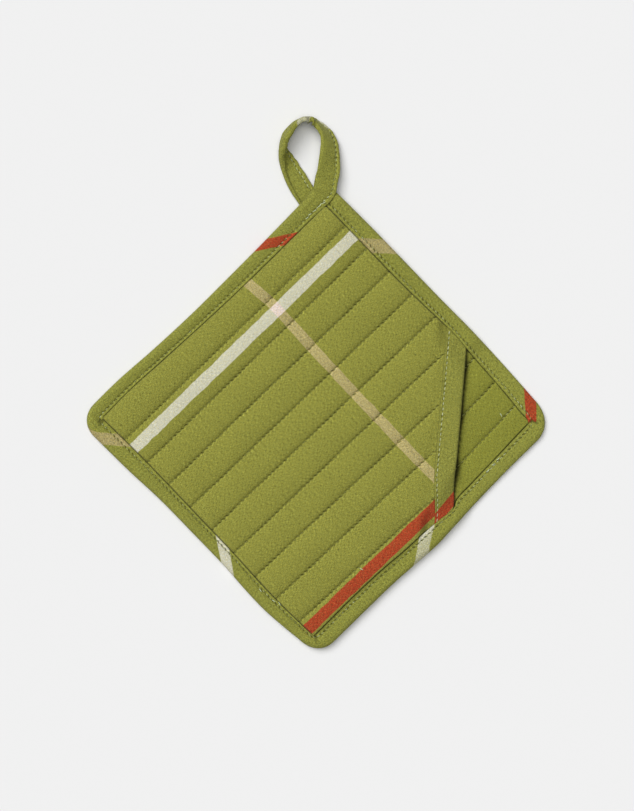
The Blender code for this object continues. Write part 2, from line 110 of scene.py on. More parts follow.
# the square's sides: place along each, how far the binding's outer edge and inner fold lie from the middle, and the
# height of its front
sides = {
    "upperRight": [
        (90, 113.9, 102.9, 7.0), (60, 113.9, 102.4, 7.0), (30, 113.4, 101.9, 7.0), (2, 112.9, 102.3, 7.0),
        (-14, 112.8, 102.8, 7.3), (-24, 112.8, 102.8, 7.6), (-36.5, 112.5, 101.8, 7.4),
        (-44, 112.3, 101.3, 4.8), (-55, 111.8, 100.6, 4.6), (-75, 110.7, 99.2, 4.6), (-91, 109.6, 97.6, 4.6),
    ],
    "lowerRight": [
        (92, 111.2, 99.3, 4.6), (60, 111.0, 100.3, 4.6), (40, 111.4, 100.8, 4.7), (30, 111.7, 101.0, 5.0),
        (26.8, 111.9, 101.6, 5.9), (23.8, 112.0, 103.3, 7.0), (20.5, 112.2, 103.8, 7.4), (13, 112.5, 102.6, 7.6),
        (1, 113.1, 101.6, 7.4), (-18, 112.1, 100.8, 7.0),
        (-38, 110.8, 99.2, 7.0), (-63, 110.3, 98.3, 7.0), (-94, 110.0, 98.3, 7.0),
    ],
    "lowerLeft": [
        (-93.5, 108.9, 100.8, 7.0), (-80, 110.3, 101.1, 7.0), (-62, 111.4, 101.2, 7.0), (-45, 110.9, 100.6, 7.0),
        (-25, 109.6, 99.6, 7.0), (5, 109.0, 98.8, 7.0), (37, 108.7, 98.0, 7.0), (63, 109.7, 97.5, 7.0),
        (95, 110.0, 97.8, 7.0),
    ],
    "upperLeft": [
        (-95, 109.8, 99.4, 7.0), (-76, 109.7, 99.7, 7.0), (-42, 107.6, 98.1, 7.0), (-10, 106.3, 96.5, 7.0),
        (23, 106.1, 95.3, 7.0), (60, 106.2, 94.8, 7.0), (90, 106.7, 94.6, 7.0),
    ],
}
outer, fold, frontHeight = {}, {}, {}
for side, rows in sides.items():
    spots = [row[0] for row in rows]
    for number, tables in enumerate((outer, fold, frontHeight), 1):
        tables[side] = smoothTable(spots, [row[number] for row in rows])

corner = {"height": 2.2, "flat": 34.0, "fade": 80.0}  # the top corner, lifted by the loop's end beneath
# the pocket's mouth: the ends and width of its band, how far in the band's seam lies, the band's length and its number
# of stitches, how far in the panel's own edge lies, the heights of the cloth under the band at its ends and middle, how
# soon they rise, the gaps and thicknesses of the band's cloth, and how far its ends go under the binding
mouth = {
    "start": np.array([103.7, -34.6]), "end": np.array([26.2, -99.7]),
    "band": 14.0, "seam": 12.1, "length": 125, "stitches": 36.2,
    "inset": 2.0, "lipEnd": (3.3, 3.9), "lipMiddle": (7.3, 8.3), "rise": 16.0,
    "gap": (0.3, 0.5), "wall": (0.5, 0.85), "tuck": 4.0,
}
mouthRun = (mouth["end"] - mouth["start"]) / np.linalg.norm(mouth["end"] - mouth["start"])
mouthInwards = np.array([mouthRun[1], -mouthRun[0]])


def lift(x, y):
    away = np.hypot(x - outer["upperRight"](90), y - outer["upperLeft"](90))
    return corner["height"] * ease(1 - (away - corner["flat"]) / corner["fade"])


def insideFolds(x, y):
    # how far inside the binding's four folds
    return (
        fold["upperLeft"](x) - y, y + fold["lowerRight"](x),
        fold["upperRight"](y) - x, x + fold["lowerLeft"](y),
    )


def insideMouth(x, y):
    return (x - mouth["start"][0]) * mouthInwards[0] + (y - mouth["start"][1]) * mouthInwards[1]


def lipHeights(x, y):
    _, low, right, _ = insideFolds(x, y)
    share = ease(np.minimum(low, right) / mouth["rise"])
    return [mix(a, b, share) for a, b in zip(mouth["lipEnd"], mouth["lipMiddle"])]


stitch = {"length": 3.45, "slant": 0.2, "round": 0.27}
# the quilting lines' distance and ends, how far inside the binding a panel reaches its full thickness, and how much of
# it is reached right beside each fold
quilting = {"pitch": 20.3, "ends": (-97.5, 102.0), "softening": 10.0, "besideFold": (0.6, 0.8, 0.84, 0.84)}
# the panels: each line's place at its two ends, lowest and highest at the rim and in full, how deep the lines and the
# thread's groove are, how far the lines lift the underside, and each stripe's direction, middle and width
front = {
    "lines": [
        (78.8, 75.7), (58.1, 55.5), (38.1, 34.6), (17.8, 13.8), (-2.5, -7.2), (-23.3, -28.2), (-43.8, -50.5),
        (-63.8, -70.7), (-84.9, -93.3),
    ],
    "rim": (3.1, 4.55), "full": (4.55, 9.4), "depth": 1.75, "groove": 0.95, "under": 0.5, "seed": 11,
    "stripes": {"creamStripe": (1, 69.2, 7.8), "redStripe": (1, -94.3, 7.8), "tanStripe": (0, 0.0, 6.7)},
}
back = {
    "lines": [(71.6 - quilting["pitch"] * i, 77.7 - quilting["pitch"] * i) for i in range(9)],
    "rim": (1.0, 2.35), "full": (0.0, 4.1), "depth": 1.35, "groove": 0.8, "under": 1.0, "seed": 23,
    "stripes": {"creamStripe": (1, 110.0, 1.0), "redStripe": (1, 22.0, 7.8), "tanStripe": (0, -84.0, 6.7)},
}


def lineAt(line, x):
    start, end = quilting["ends"]
    return mix(line[0], line[1], (x - start) / (end - start))


def waver(panel, number, x):
    # how far a sewn line strays
    return 0.12 * softNoise(x / 9, number * 5.0 + 0 * x, panel["seed"])


def linePhase(panel, number):
    # where a line's first needle hole lies
    return np.random.RandomState(panel["seed"]).uniform(0, stitch["length"], len(panel["lines"]))[number]


def nearestLine(panel, x, y):
    offsets = np.stack([y - lineAt(line, x) for line in panel["lines"]])
    nearest = np.abs(offsets).argmin(axis=0)
    return nearest, np.take_along_axis(offsets, nearest[None], axis=0)[0]


def sewing(panel, x, y):
    # distance from the nearest line, its needle holes, 1 at each and -1 half way, and how deep in its crease
    nearest, offset = nearestLine(panel, x, y)
    turn = (x - linePhase(panel, nearest)) / stitch["length"]
    holes = np.cos(turn * 2 * math.pi)
    offset = offset + stitch["slant"] * np.sin(turn * 2 * math.pi) + waver(panel, nearest, x)
    return offset, holes, hill(offset, 0.5)


def seamPlaces(panel, x, y):
    # for the cloth's material: distance from the nearest line, stitches gone along it, and 1 where it is near
    nearest, offset = nearestLine(panel, x, y)
    offset = offset + waver(panel, nearest, x)
    return offset, (x - linePhase(panel, nearest)) / stitch["length"], (np.abs(offset) < 5).astype(float)


def panelHeights(panel, x, y):
    offset, holes, crease = sewing(panel, x, y)
    away = np.abs(offset)
    free = 1.0  # how much of the full thickness is reached
    for inside, share in zip(insideFolds(x, y), quilting["besideFold"]):
        slow = 1 - (1 - np.clip(inside / quilting["softening"], 0, 1)) ** 2
        free = free * (share * ease((inside + 0.1) / 0.9) + (1 - share) * slow)
    loose = np.minimum(free * 4, 1)
    fromCrest = 1 - np.clip(away / (quilting["pitch"] / 2), 0, 1)
    sag = fromCrest**2.3
    seed = panel["seed"]
    uneven = 0.2 * softNoise(x / 21, y / 16, seed) + 0.12 * softNoise(x / 9, y / 11, seed + 1)
    pucker = 0.2 * softNoise(x / 2.6, y / 9, seed + 2) + 0.15 * softNoise(x / 5.5, y / 7, seed + 3)
    high = panel["full"][1] + uneven - panel["depth"] * sag * (1 + 0.12 * softNoise(x / 14, y / 30, seed + 4))
    high = mix(panel["rim"][1] - 0.35 * panel["depth"] * sag * (free > 0), high, free)
    high = high + pucker * np.exp(-away / 3.2) * loose
    high = high - (panel["groove"] * (0.75 + 0.25 * holes) * crease + 0.24 * hill(away, 1.5)) * (0.6 + 0.4 * free)
    high = high - 0.16 * holes * hill(offset + 1.05, 0.75) * loose
    sewn = np.clip(1 - away / 3.6, 0, 1) * 0.72 + 0.28 * fromCrest**2
    low = mix(panel["rim"][0], panel["full"][0] + panel["under"] * np.clip(1.6 * sewn - 0.6, 0, 1), free)
    return low, np.maximum(high, low + 0.35)


def frontHeights(x, y):
    low, high = panelHeights(front, x, y)
    inside = insideMouth(x, y)
    lip = 1 - ease((inside - mouth["band"] - 0.2) / 7.5)
    lipLow, lipHigh = lipHeights(x, y)
    return mix(low, lipLow, lip) + lift(x, y), mix(high, lipHigh, lip) + lift(x, y)


def backHeights(x, y):
    low, high = panelHeights(back, x, y)
    return low + lift(x, y), high + lift(x, y)


def gridPiece(name, across, along):
    # a flat grid with this many vertices each way
    bpy.ops.object.select_all(action="DESELECT")
    bpy.ops.mesh.primitive_grid_add(x_subdivisions=across - 1, y_subdivisions=along - 1, size=2)
    piece = bpy.context.object
    piece.name = piece.data.name = name
    return piece


def meshPoints(piece):
    points = np.empty(len(piece.data.vertices) * 3)
    piece.data.vertices.foreach_get("co", points)
    return points.reshape(-1, 3)


def setPoints(piece, points):
    piece.data.vertices.foreach_set("co", np.ascontiguousarray(points, dtype=np.float64).ravel())
    piece.data.update()


def gridPlaces(piece, across, along):
    points = meshPoints(piece)
    column = np.rint((points[:, 0] + 1) / 2 * (across - 1)).astype(int)
    row = np.rint((points[:, 1] + 1) / 2 * (along - 1)).astype(int)
    return column, row


def setWeave(piece, weave):
    # the cloth's own coordinates, in millimetres along its two sets of yarns
    layer = piece.data.uv_layers.get("UVMap") or piece.data.uv_layers.new(name="UVMap")
    layer.name = "weave"
    loops = np.empty(len(piece.data.loops), int)
    piece.data.loops.foreach_get("vertex_index", loops)
    layer.data.foreach_set("uv", weave[loops].astype(np.float32).ravel())


def setAttribute(piece, name, values):
    layer = piece.data.attributes.new(name, "FLOAT", "POINT")
    layer.data.foreach_set("value", np.asarray(values, np.float32))


def inEditMode(piece, *steps):
    bpy.ops.object.select_all(action="DESELECT")
    piece.select_set(True)
    bpy.context.view_layer.objects.active = piece
    bpy.ops.object.mode_set(mode="EDIT")
    for step, options in steps:
        bpy.ops.mesh.select_all(action="SELECT")
        if step == "caps":
            bpy.ops.mesh.select_all(action="DESELECT")
            bpy.ops.mesh.select_non_manifold()
            bpy.ops.mesh.edge_face_add()
        else:
            getattr(bpy.ops.mesh, step)(**options)
    bpy.ops.mesh.select_all(action="DESELECT")
    bpy.ops.object.mode_set(mode="OBJECT")


def cutBy(piece, place, outwards):
    # takes off what lies beyond an upright plane and closes the cut
    place = toWorld([*place, 0.0])
    normal = toWorld([*outwards, 0.0])
    inEditMode(piece, ("bisect", {
        "plane_co": tuple(place), "plane_no": tuple(normal / np.linalg.norm(normal)), "use_fill": True,
        "clear_outer": True, "threshold": 0.000001,
    }))


# x of the front's tan stripe at some y, which the cloth's yarns follow
tanMiddle = smoothTable(
    [-82, -67.4, -48.1, -6.0, 35.8, 60, 71.5, 94.6], [28.1, 28.2, 28.6, 29.7, 31.3, 32.6, 33.0, 31.6]
)


def panelWeave(x, y):
    # the cloth lies a little askew to the quilting
    return np.stack([x - tanMiddle(y), y + x * (0.0163 + (70 - y) * 0.00004)], axis=-1)


def setMarks(piece, spans, **marked):
    # how far each point lies inside each stripe, from its seam and inside its fold, in millimetres, and the rest
    for name, values in {**spans, **marked}.items():
        setAttribute(piece, name, values)


panelInset = 3.0  # how far the panels' own edges lie inside the binding's
besideSteps = np.array([-0.7, -0.3, 0.0, 0.3, 0.6, 0.9, 1.3, 1.8])  # rows and columns beside a fold
# the panels' corners are cut off under the binding: a place on each cut, and the way outwards
panelCuts = (((-103, 100), (-1, 1)), ((-103.5, -103.5), (-1, -1)), ((102, -102), (1, -1)), ((100, 95.5), (1, 1)))


def panelRows(panel):
    # each row of the grid is a line that gives y for x, and rows are close beside the folds and quilting lines
    byEdge = lambda side, sign, depth: (lambda x: sign * (outer[side](x) - panelInset - depth))
    byFold = lambda side, sign, depth: (lambda x: sign * (fold[side](x) - depth))
    byLine = lambda line, offset: (lambda x: lineAt(line, x) + offset)
    between = lambda a, b, share: (lambda x: mix(a(x), b(x), share))
    steps = (0.35, 0.8, 1.5, 2.6, 4.2, 6.4, 8.6)
    offsets = [-step for step in reversed(steps)] + [0.0] + list(steps)
    lines = sorted(panel["lines"])
    low, high = byFold("lowerRight", -1, 2.4), byFold("upperLeft", 1, 2.4)
    firstLine, lastLine = byLine(lines[0], -0.35), byLine(lines[-1], 0.35)
    rows = [byEdge("lowerRight", -1, 0), byEdge("lowerRight", -1, 4)]
    rows += [byFold("lowerRight", -1, depth) for depth in besideSteps]
    rows += [between(low, firstLine, share) for share in (0, 0.18, 0.36, 0.54, 0.72, 0.87)]
    for line in lines:
        for offset in offsets:
            if (line == lines[0] and offset < -0.4) or (line == lines[-1] and offset > 0.4):
                continue
            rows.append(byLine(line, offset))
    rows += [between(lastLine, high, share) for share in (0.06, 0.16, 0.28, 0.42, 0.56, 0.7, 0.85, 1)]
    rows += [byFold("upperLeft", 1, depth) for depth in besideSteps[::-1]]
    return rows + [byEdge("upperLeft", 1, 4), byEdge("upperLeft", 1, 0)]


def panelPlaces(rows, columns):
    xs, ys = np.empty((len(rows), columns)), np.empty((len(rows), columns))
    for j, rowLine in enumerate(rows):
        x = np.linspace(-107, 107, columns)
        for _ in range(3):
            y = rowLine(x)
            left, right = -fold["lowerLeft"](y[0]), fold["upperRight"](y[-1])
            middle = np.linspace(left + 2.5, right - 2.5, columns - 2 * len(besideSteps) - 4)
            x = np.concatenate([
                [panelInset - outer["lowerLeft"](y[0]), left - 4], left + besideSteps, middle,
                right - besideSteps[::-1], [right + 4, outer["upperRight"](y[-1]) - panelInset],
            ])
        xs[j], ys[j] = x, rowLine(x)
    return xs, ys


def makePanel(name, panel, heights, columns=289):
    rows = panelRows(panel)
    piece = gridPiece(name, columns, len(rows))
    inEditMode(piece, ("extrude_region", {}))
    column, row = gridPlaces(piece, columns, len(rows))
    x, y = (places[row, column] for places in panelPlaces(rows, columns))
    low, high = heights(x, y)
    upper = np.arange(len(x)) >= len(x) // 2  # the extruded copies come last
    setPoints(piece, toWorld(np.stack([x, y, np.where(upper, high, low)], axis=-1)))
    weave = panelWeave(x, y)
    setWeave(piece, weave)
    wobble = 0.3 * softNoise(x / 6, y / 5, 71) + 0.16 * softNoise(x / 2.2, y / 2.2, 72)
    spans = {
        stripe: width / 2 - np.abs(weave[:, axis] - middle + wobble)
        for stripe, (axis, middle, width) in panel["stripes"].items()
    }
    seam, turn, near = seamPlaces(panel, x, y)
    # painted shadow: on the back, the cloth beside the mouth band's edge is darkened as the band's cast shadow and the
    # dark gap under it
    shade = 0 * x
    if panel is back:  # the gap under the mouth's edge, wider where a line of quilting and the lower end run in
        gap = 1.1 + 0.6 * softNoise(y / 7, 0 * y, 83) + 1.2 * hill(seam + 0.6, 2.2)
        gap = gap + 1.5 * hill(x - (mouth["start"] + mouthRun * 82)[0], 5)
        shade = 1.7 * hill(np.minimum(insideMouth(x, y) + 0.6, 0), gap)
    # painted shadow along the binding's folds: the fold mark darkens the panel's cloth just inside each fold, reaching
    # a little further or less far on each side
    folds = np.stack(insideFolds(x, y)) + np.array([-0.12, 0.06, 0.0, 0.0])[:, None]
    folds[0] += 0.3 * ease((-50 - x) / 30)
    inFold = folds.min(axis=0) + 0.13 * softNoise((x - y) / 9, (x + y) / 9, 84)
    # crease carries the painted shadow beside the mouth band, and fold the painted shadow along the folds
    setMarks(piece, spans, seam=seam, turn=turn, near=near, fold=inFold, crease=shade)
    for place, outwards in panelCuts:
        cutBy(piece, place, outwards)
    return piece


frontPiece = makePanel("quiltedFront", front, frontHeights)
cutBy(frontPiece, mouth["start"] + mouthInwards * mouth["inset"], -mouthInwards)
backPiece = makePanel("quiltedBack", back, backHeights)
print("panels made")

# the binding round the edge, and the loop that it runs into: how far its edge is rounded, how far in its stitches are,
# its usual width, and the loop's width, how much wider than usual it is up to the stitches and past them, and creases
binding = {"round": 3.2, "stitches": 2.3, "width": 11, "folded": 15.2, "stretch": (1.22, 1.67), "crease": 1.6}
sidePull = {"upperRight": 1.0, "lowerRight": 0.5, "lowerLeft": 0.95, "upperLeft": 1.0}  # how far the stitches sink
sideTilt = {"upperRight": 0.3, "lowerRight": 0.7, "lowerLeft": 0.3, "upperLeft": 0.7}  # how far the outer edge hangs
step = stitch["length"] / 4  # from one of the strip's stations to the next
# outer edge and fold at the strip's start, and where it turns from the last side into the loop
startWrap = ((113.9, 97.4), (102.9, 96.0))
cornerWrap = [((96.5, 107.1), (98.2, 94.3)), ((102.1, 107.9), (105.6, 93.9))]

# the loop's strip, unturned: x and y of its outer side, lowest height, roll, crease and how far in that is, thickness
loopRows = [
    (13.1, 149.1, 6.8, 4, 0, 8, 3.2), (13.9, 154.3, 6.3, 10, 0, 8, 3.0), (15.1, 159.9, 5.8, 17, 0, 8, 3.0),
    (15.3, 168.3, 5.0, 28, 0, 8, 3.0), (14.8, 175.2, 4.2, 38, 0, 8, 3.0), (13.3, 182.2, 2.8, 48, 0, 8, 3.0),
    (9.8, 188.6, 1.6, 59, 0, 8, 3.0), (5.2, 192.7, 0.9, 69, 0, 8, 3.0), (1.7, 194.9, 0.5, 77, 0, 8, 3.1),
    (-1.8, 196.9, 0.3, 84, 0, 8, 3.2), (-8.1, 196.9, 0.3, 86, 0, 8, 3.2), (-12.5, 195.8, 0.3, 81, 0, 8, 3.2),
    (-17.3, 192.8, 0.3, 76, 0, 8, 3.2), (-21.4, 188.0, 0.3, 73, 2, 7, 3.2), (-23.4, 183.2, 0.3, 86, 18, 6.5, 3.1),
    (-24.5, 178.1, 0.3, 124, 64, 7.0, 2.9), (-24.8, 172.9, 0.25, 152, 88, 8.9, 2.8),
    (-24.4, 168.3, 0.2, 170, 102, 9.6, 2.8), (-22.9, 162.5, 0.15, 180, 110, 11.1, 2.7),
    (-20.3, 155.5, 0.1, 180, 112, 12.5, 2.6), (-16.8, 148.5, 0.05, 180, 112, 12.9, 2.4),
    (-11.4, 140.4, 0.05, 180, 92, 13.0, 1.9), (-8.2, 135.8, 0.05, 180, 30, 14.0, 1.8),
    (-5.9, 132.3, 0.05, 180, 0, 14.5, 1.8),
]

# points across the strip from its fold: how far in, and how far each lies below its front face
foldPoints = [
    (0.2, 2.5), (0.02, 2.15), (0.0, 1.8), (0.14, 1.5), (0.45, 1.3), (0.9, 1.2), (1.4, 1.26), (1.8, 1.45),
    (2.08, 1.75), (2.3, 1.95), (2.55, 1.75), (3.0, 1.45), (3.8, 1.12), (5.0, 0.72), (6.2, 0.36), (7.3, 0.1),
]
seamColumn = 9  # the one that the stitches run along
roundPoints = [72, 54, 36, 18, 4]  # degrees round its outer edge


def sideEnds(side, axis, sign):
    rows = sides[side]
    along = np.linspace(rows[0][0], rows[-1][0], 400)
    ends = []
    for table in (outer, fold):
        place = np.stack([along, along], axis=-1)
        place[:, axis] = sign * table[side](along)
        ends.append(place)
    height = frontHeight[side](along)
    thick = np.clip((height - 2.2) / 4.8, 0, 1)
    return ends[0], ends[1], height, sidePull[side] * thick, sideTilt[side] * thick


def cornerEnds(before, after, axis):
    t = np.linspace(0, 1, 82)[1:-1, None]
    ends = []
    for k, roundness in ((0, 0.59), (1, 0.9)):
        start, end = before[k][-1], after[k][0]
        apex = start.copy()
        apex[axis] = end[axis]
        a, b = mix(start, apex, roundness), mix(end, apex, roundness)
        ends.append(start * (1 - t) ** 3 + a * 3 * t * (1 - t) ** 2 + b * 3 * t**2 * (1 - t) + end * t**3)
    return ends + [mix(before[k][-1], after[k][0], t[:, 0]) for k in (2, 3, 4)]


def profile(width, height, pull, tilt):
    # across the folded strip from its fold: distance from its outer edge and height, front, back, then inside
    front, behind = [], []
    for reach, drop in foldPoints:
        distance = width - reach * (width - binding["round"]) / (binding["width"] - binding["round"])
        front.append((distance, height - drop * pull - tilt * (1 - distance / width)))
        behind.append((distance, 0.55 * drop * pull))
    for angle in roundPoints:
        turn = math.radians(angle)
        distance = binding["round"] * (1 - math.cos(turn)) + 0 * width
        hung = height - tilt * (1 - distance / width)
        front.append((distance, hung / 2 * (1 + math.sin(turn) ** 0.85)))
        behind.append((distance, hung / 2 * (1 - math.sin(turn) ** 0.85)))
    inner = [(1.5 + 0 * width, 1.6 + 0 * height), (2.8 + 0 * width, 1.15 + 0 * height)]
    return front + behind[::-1] + inner[::-1] + [(d, height - z) for d, z in inner]


def ringShape():
    runs = [sideEnds("upperRight", 0, 1)]
    for side, axis, sign, turn in (("lowerRight", 1, -1, 1), ("lowerLeft", 0, -1, 0), ("upperLeft", 1, 1, 1)):
        after = sideEnds(side, axis, sign)
        runs += [cornerEnds(runs[-1], after, turn), after]
    outerEnd, foldEnd = (
        np.vstack([[startWrap[k]], *(run[k] for run in runs), [wrap[k] for wrap in cornerWrap]]) for k in (0, 1)
    )
    height, pull, tilt = (
        np.concatenate([[first], *(run[k] for run in runs), last])
        for k, first, last in ((2, 4.9, [7.0, 7.0]), (3, 1.0, [1.1, 0.9]), (4, 0.3, [0.5, 0.2]))
    )
    width = np.linalg.norm(foldEnd - outerEnd, axis=1)
    inwards = (foldEnd - outerEnd) / width[:, None]
    sections = []
    for distance, z in profile(width, height, pull, tilt):
        place = outerEnd + inwards * distance[:, None]
        sections.append(np.stack([place[:, 0], place[:, 1], z + lift(place[:, 0], place[:, 1])], axis=-1))
    return np.stack(sections, axis=1), np.tile([0.0, 0.0, 1.0], (len(width), 1))


def loopReach(reach):
    # a fold point's place across the loop's wider strip
    near, far = binding["stretch"]
    return near * np.minimum(reach, binding["stitches"]) + far * np.maximum(reach - binding["stitches"], 0)


def stripSection(row, direction):
    # one row of the loop, unturned: its points and the way that its front faces
    x, y, low, roll, bend, creaseAt, thick = row
    left, above = np.array([-direction[1], direction[0], 0]), np.array([0, 0, 1.0])
    roll, bend = math.radians(roll), math.radians(max(bend, 0))
    across = left * math.cos(roll) + above * math.sin(roll)
    face = above * math.cos(roll) - left * math.sin(roll)
    start = creaseAt - binding["crease"] * bend / 2

    def onCloth(distance, height):
        angle = min(max((distance - start) / binding["crease"], 0), bend)
        flat = min(distance, start) if bend > 0 else distance
        past = max(distance - start - binding["crease"] * bend, 0) if bend > 0 else 0
        u = flat + binding["crease"] * math.sin(angle) + past * math.cos(bend) + height * math.sin(angle)
        w = binding["crease"] * (1 - math.cos(angle)) + past * math.sin(bend) - height * math.cos(angle)
        return across * u - face * w

    half, width = thick / 2, binding["folded"]
    points, behind = [], []
    for reach, drop in foldPoints:
        # the two folds are sewn together here, and the strip is fuller towards its other edge
        points.append((loopReach(reach), max(half * (1.12 - 0.42 * drop), 0.12)))
    for angle in roundPoints:
        turn = math.radians(angle)
        points.append((width - 0.6 * binding["round"] * (1 - math.cos(turn)), 1.12 * half * math.sin(turn) ** 0.6))
    slit = [(1.5, 0.04), (1.0, 0.08)]
    points = points + [(d, -z) for d, z in reversed(points)] + [(d, -z) for d, z in reversed(slit)] + slit
    points = np.array([onCloth(d, h) for d, h in points])
    points = points - left * (points @ left).min() + np.array([x, y, low - points[:, 2].min()])
    return points, face


def loopShape():
    numbers = np.arange(len(loopRows))
    tables = [smoothTable(numbers, [row[k] for row in loopRows]) for k in range(7)]
    read = lambda at: [float(table(at)) for table in tables]
    sections, faces = [], []
    for at in np.arange(0, len(loopRows) - 1 + 0.001, 0.125):
        near, far = read(max(at - 0.25, 0)), read(min(at + 0.25, len(loopRows) - 1))
        direction = np.array([far[0] - near[0], far[1] - near[1], 0])
        points, face = stripSection(read(at), direction / np.linalg.norm(direction))
        sections.append(fromUpright(points))
        faces.append(fromUpright(face))
    return np.stack(sections), np.array(faces)


def joinedStrip():
    # the ring runs on as the loop: the gap between the two is bridged smoothly
    ring, ringFaces = ringShape()
    loop, loopFaces = loopShape()
    before, after = ring[-1] - ring[-14], loop[4] - loop[0]
    t = np.linspace(0, 1, 12)[1:-1, None, None]
    span = np.linalg.norm(loop[0] - ring[-1], axis=-1).mean()
    before, after = (way / np.linalg.norm(way, axis=-1).mean() * span for way in (before, after))
    bridge = smoothWay(ring[-1], loop[0], before, after, t)
    t = t[:, 0]
    points = np.concatenate([ring, bridge, loop])
    faces = np.concatenate([ringFaces, mix(ringFaces[-1], loopFaces[0], t), loopFaces])
    seam = points[:, seamColumn]
    gone = lengthsAlong(seam)
    at = np.arange(0, gone[-1], step)
    k = np.clip(np.searchsorted(gone, at, side="right") - 1, 0, len(gone) - 2)
    share = ((at - gone[k]) / np.maximum(gone[k + 1] - gone[k], 1e-9))[:, None]
    faces = mix(faces[k], faces[k + 1], share)
    faces = faces / np.linalg.norm(faces, axis=1)[:, None]
    return mix(points[k], points[k + 1], share[..., None]), faces, at, at > gone[len(ring) - 1]


# creases across the loop's strip, unturned: where they reach its rounded edge, slant, width, depth, how far they run
# each is sunk into the strip and darkened with painted shade
loopCreases = [
    ((-1.5, 192.0), 0.35, 0.8, 1.5, 8.0), ((-5.4, 193.8), -0.1, 1.1, 1.5, 7.0), ((0.4, 188.4), 0.9, 0.9, 0.5, 9.0),
    ((0.4, 160.0), 1.3, 1.6, 0.35, 13.0), ((-0.4, 153.0), 1.5, 1.4, 0.3, 13.0), ((-20.5, 180.0), -0.6, 1.2, 0.5, 6.0),
]
# short creases where the binding is folded at its corners, unturned: both ends, width and depth
# each is sunk into the binding and darkened with painted shade
cornerCreases = [
    ((-138.4, -0.6), (-141.6, -1.0), 0.75, 1.3), ((-139.6, -0.6), (-141.0, -4.6), 0.6, 0.9),
    ((-2.9, -136.5), (0.9, -145.2), 0.6, 1.0), ((135.7, -3.8), (140.1, -0.5), 0.6, 0.8),
    ((140.1, -0.5), (144.0, -2.2), 0.6, 0.6),
]


def stitchedFace(points, faces, at, onLoop):
    # needle holes, the ridge's waves, soft swells and creases along each station's face, and painted shade in the
    # creases
    holes = np.cos(at * 2 * math.pi / stitch["length"])
    half = len(foldPoints) + len(roundPoints)
    edge = 13  # how far in the outer edge counts as lying
    reaches = [reach for reach, _ in foldPoints] + list(range(edge - len(roundPoints) + 1, edge + 1))
    paintedShading = np.zeros(points.shape[:2])
    flat = points[:, half - 1, :2].copy()
    spots = []
    for (x, y), slant, width, depth, run in loopCreases:
        place = fromUpright((x, y))
        near = np.where(onLoop, np.linalg.norm(flat - place, axis=1), 999).argmin()
        spots.append((at[near], slant, width, depth, run))
    points = points.copy()
    for side, sign in ((0, 1), (1, -1)):
        ridge = 0.16 * softNoise(at / 5, at * 0, 31 + side) + 0.13 * softNoise(at / 1.9, at * 0, 33 + side)
        for j, reach in enumerate(reaches):
            column = j if side == 0 else 2 * half - 1 - j
            sunk = hill(reach - binding["stitches"], 0.42)
            low = (0.2 + 0.34 * holes) * sunk - ridge * (reach < 1.5)
            if reach > 2.7:
                low = low - 0.18 * softNoise(at / 7 + reach * 0.4, at * 0 + reach / 3, 35 + side)
                low = low - 0.12 * softNoise(at / 3 - reach, at * 0 + reach / 2, 37 + side)
            if side == 1:
                low = np.maximum(low, 0)
            for middle, slant, width, depth, run in spots:
                trough = hill(at - middle - slant * (edge - reach), width) * float(ease((reach - edge + run) / 3))
                low = low + sign * depth * trough
                # painted shade in the crease
                paintedShading[:, column] += 0.75 * depth * trough * (side == 0 or depth > 1)
            points[:, column] -= sign * faces * low[:, None]
    # painted light: part of the loop's right strand is lightened, as though more light fell on it
    paintedShading[onLoop & (flat.sum(axis=1) > 0) & (flat[:, 0] > flat[:, 1])] -= 0.28
    places = toWorld(points[:, :half])[..., :2] * 1000
    for start, end, width, depth in cornerCreases:
        start, way = np.array(start), np.array(end) - np.array(start)
        gone = np.clip((places - start) @ way / (way @ way), 0, 1)
        away = np.linalg.norm(places - start - gone[..., None] * way, axis=-1)
        trough = hill(away, width)
        points[:, :half, 2] -= depth * trough
        # painted shade in the mitre's crease
        paintedShading[:, :half] += 1.3 * trough
    return points, np.clip(paintedShading, -0.28, 1.3)


def loftedStrip(name, sections, at, across):
    # a strip of cloth cut on the bias, lofted through its sections, and each vertex's column and row
    along, around = sections.shape[:2]
    piece = gridPiece(name, around + 1, along)
    column, row = gridPlaces(piece, around + 1, along)
    weave = np.stack([at[:, None] + across, at[:, None] - across], axis=-1) * math.sqrt(0.5)
    setWeave(piece, weave[row, column])
    setPoints(piece, toWorld(sections[row, column % around]))
    return piece, column, row


def closeStrip(piece):
    # welds it along its length and closes its ends
    inEditMode(piece, ("remove_doubles", {"threshold": 0.000001}), ("caps", {}))


stripPoints, stripFaces, stripAt, onLoop = joinedStrip()
stripPoints, stripPaintedShading = stitchedFace(stripPoints, stripFaces, stripAt, onLoop)
turns = np.linalg.norm(np.diff(stripPoints, axis=1, append=stripPoints[:, :1]), axis=2)
stripAcross = np.concatenate([np.zeros((len(stripAt), 1)), np.cumsum(turns, axis=1)], axis=1)
bindingPiece, column, row = loftedStrip("binding", stripPoints, stripAt, stripAcross)

# where each stripe of the bias cloth crosses the binding: at its fold, at its outer edge, its width along it,
# and how much it fades away from the fold, where more of the green yarns show
stripStripes = [
    ("redStripe", (71.9, 95.1), (53.5, 105.95), 12.0, 0), ("tanStripe", (-98.3, 78.4), (-109.7, 93.8), 12.2, 0),
    ("creamStripe", (-99.1, -13.0), (-109.7, -28.4), 12.2, 0), ("tanStripe", (102.7, 57.7), (113.3, 45.9), 13.4, 0),
    ("creamStripe", (-0.4, -102.05), (-16.25, -111.3), 13.4, 0.13),
    ("creamStripe", (141.3, 131.7), (131.9, 144.3), 10.0, 0),
]
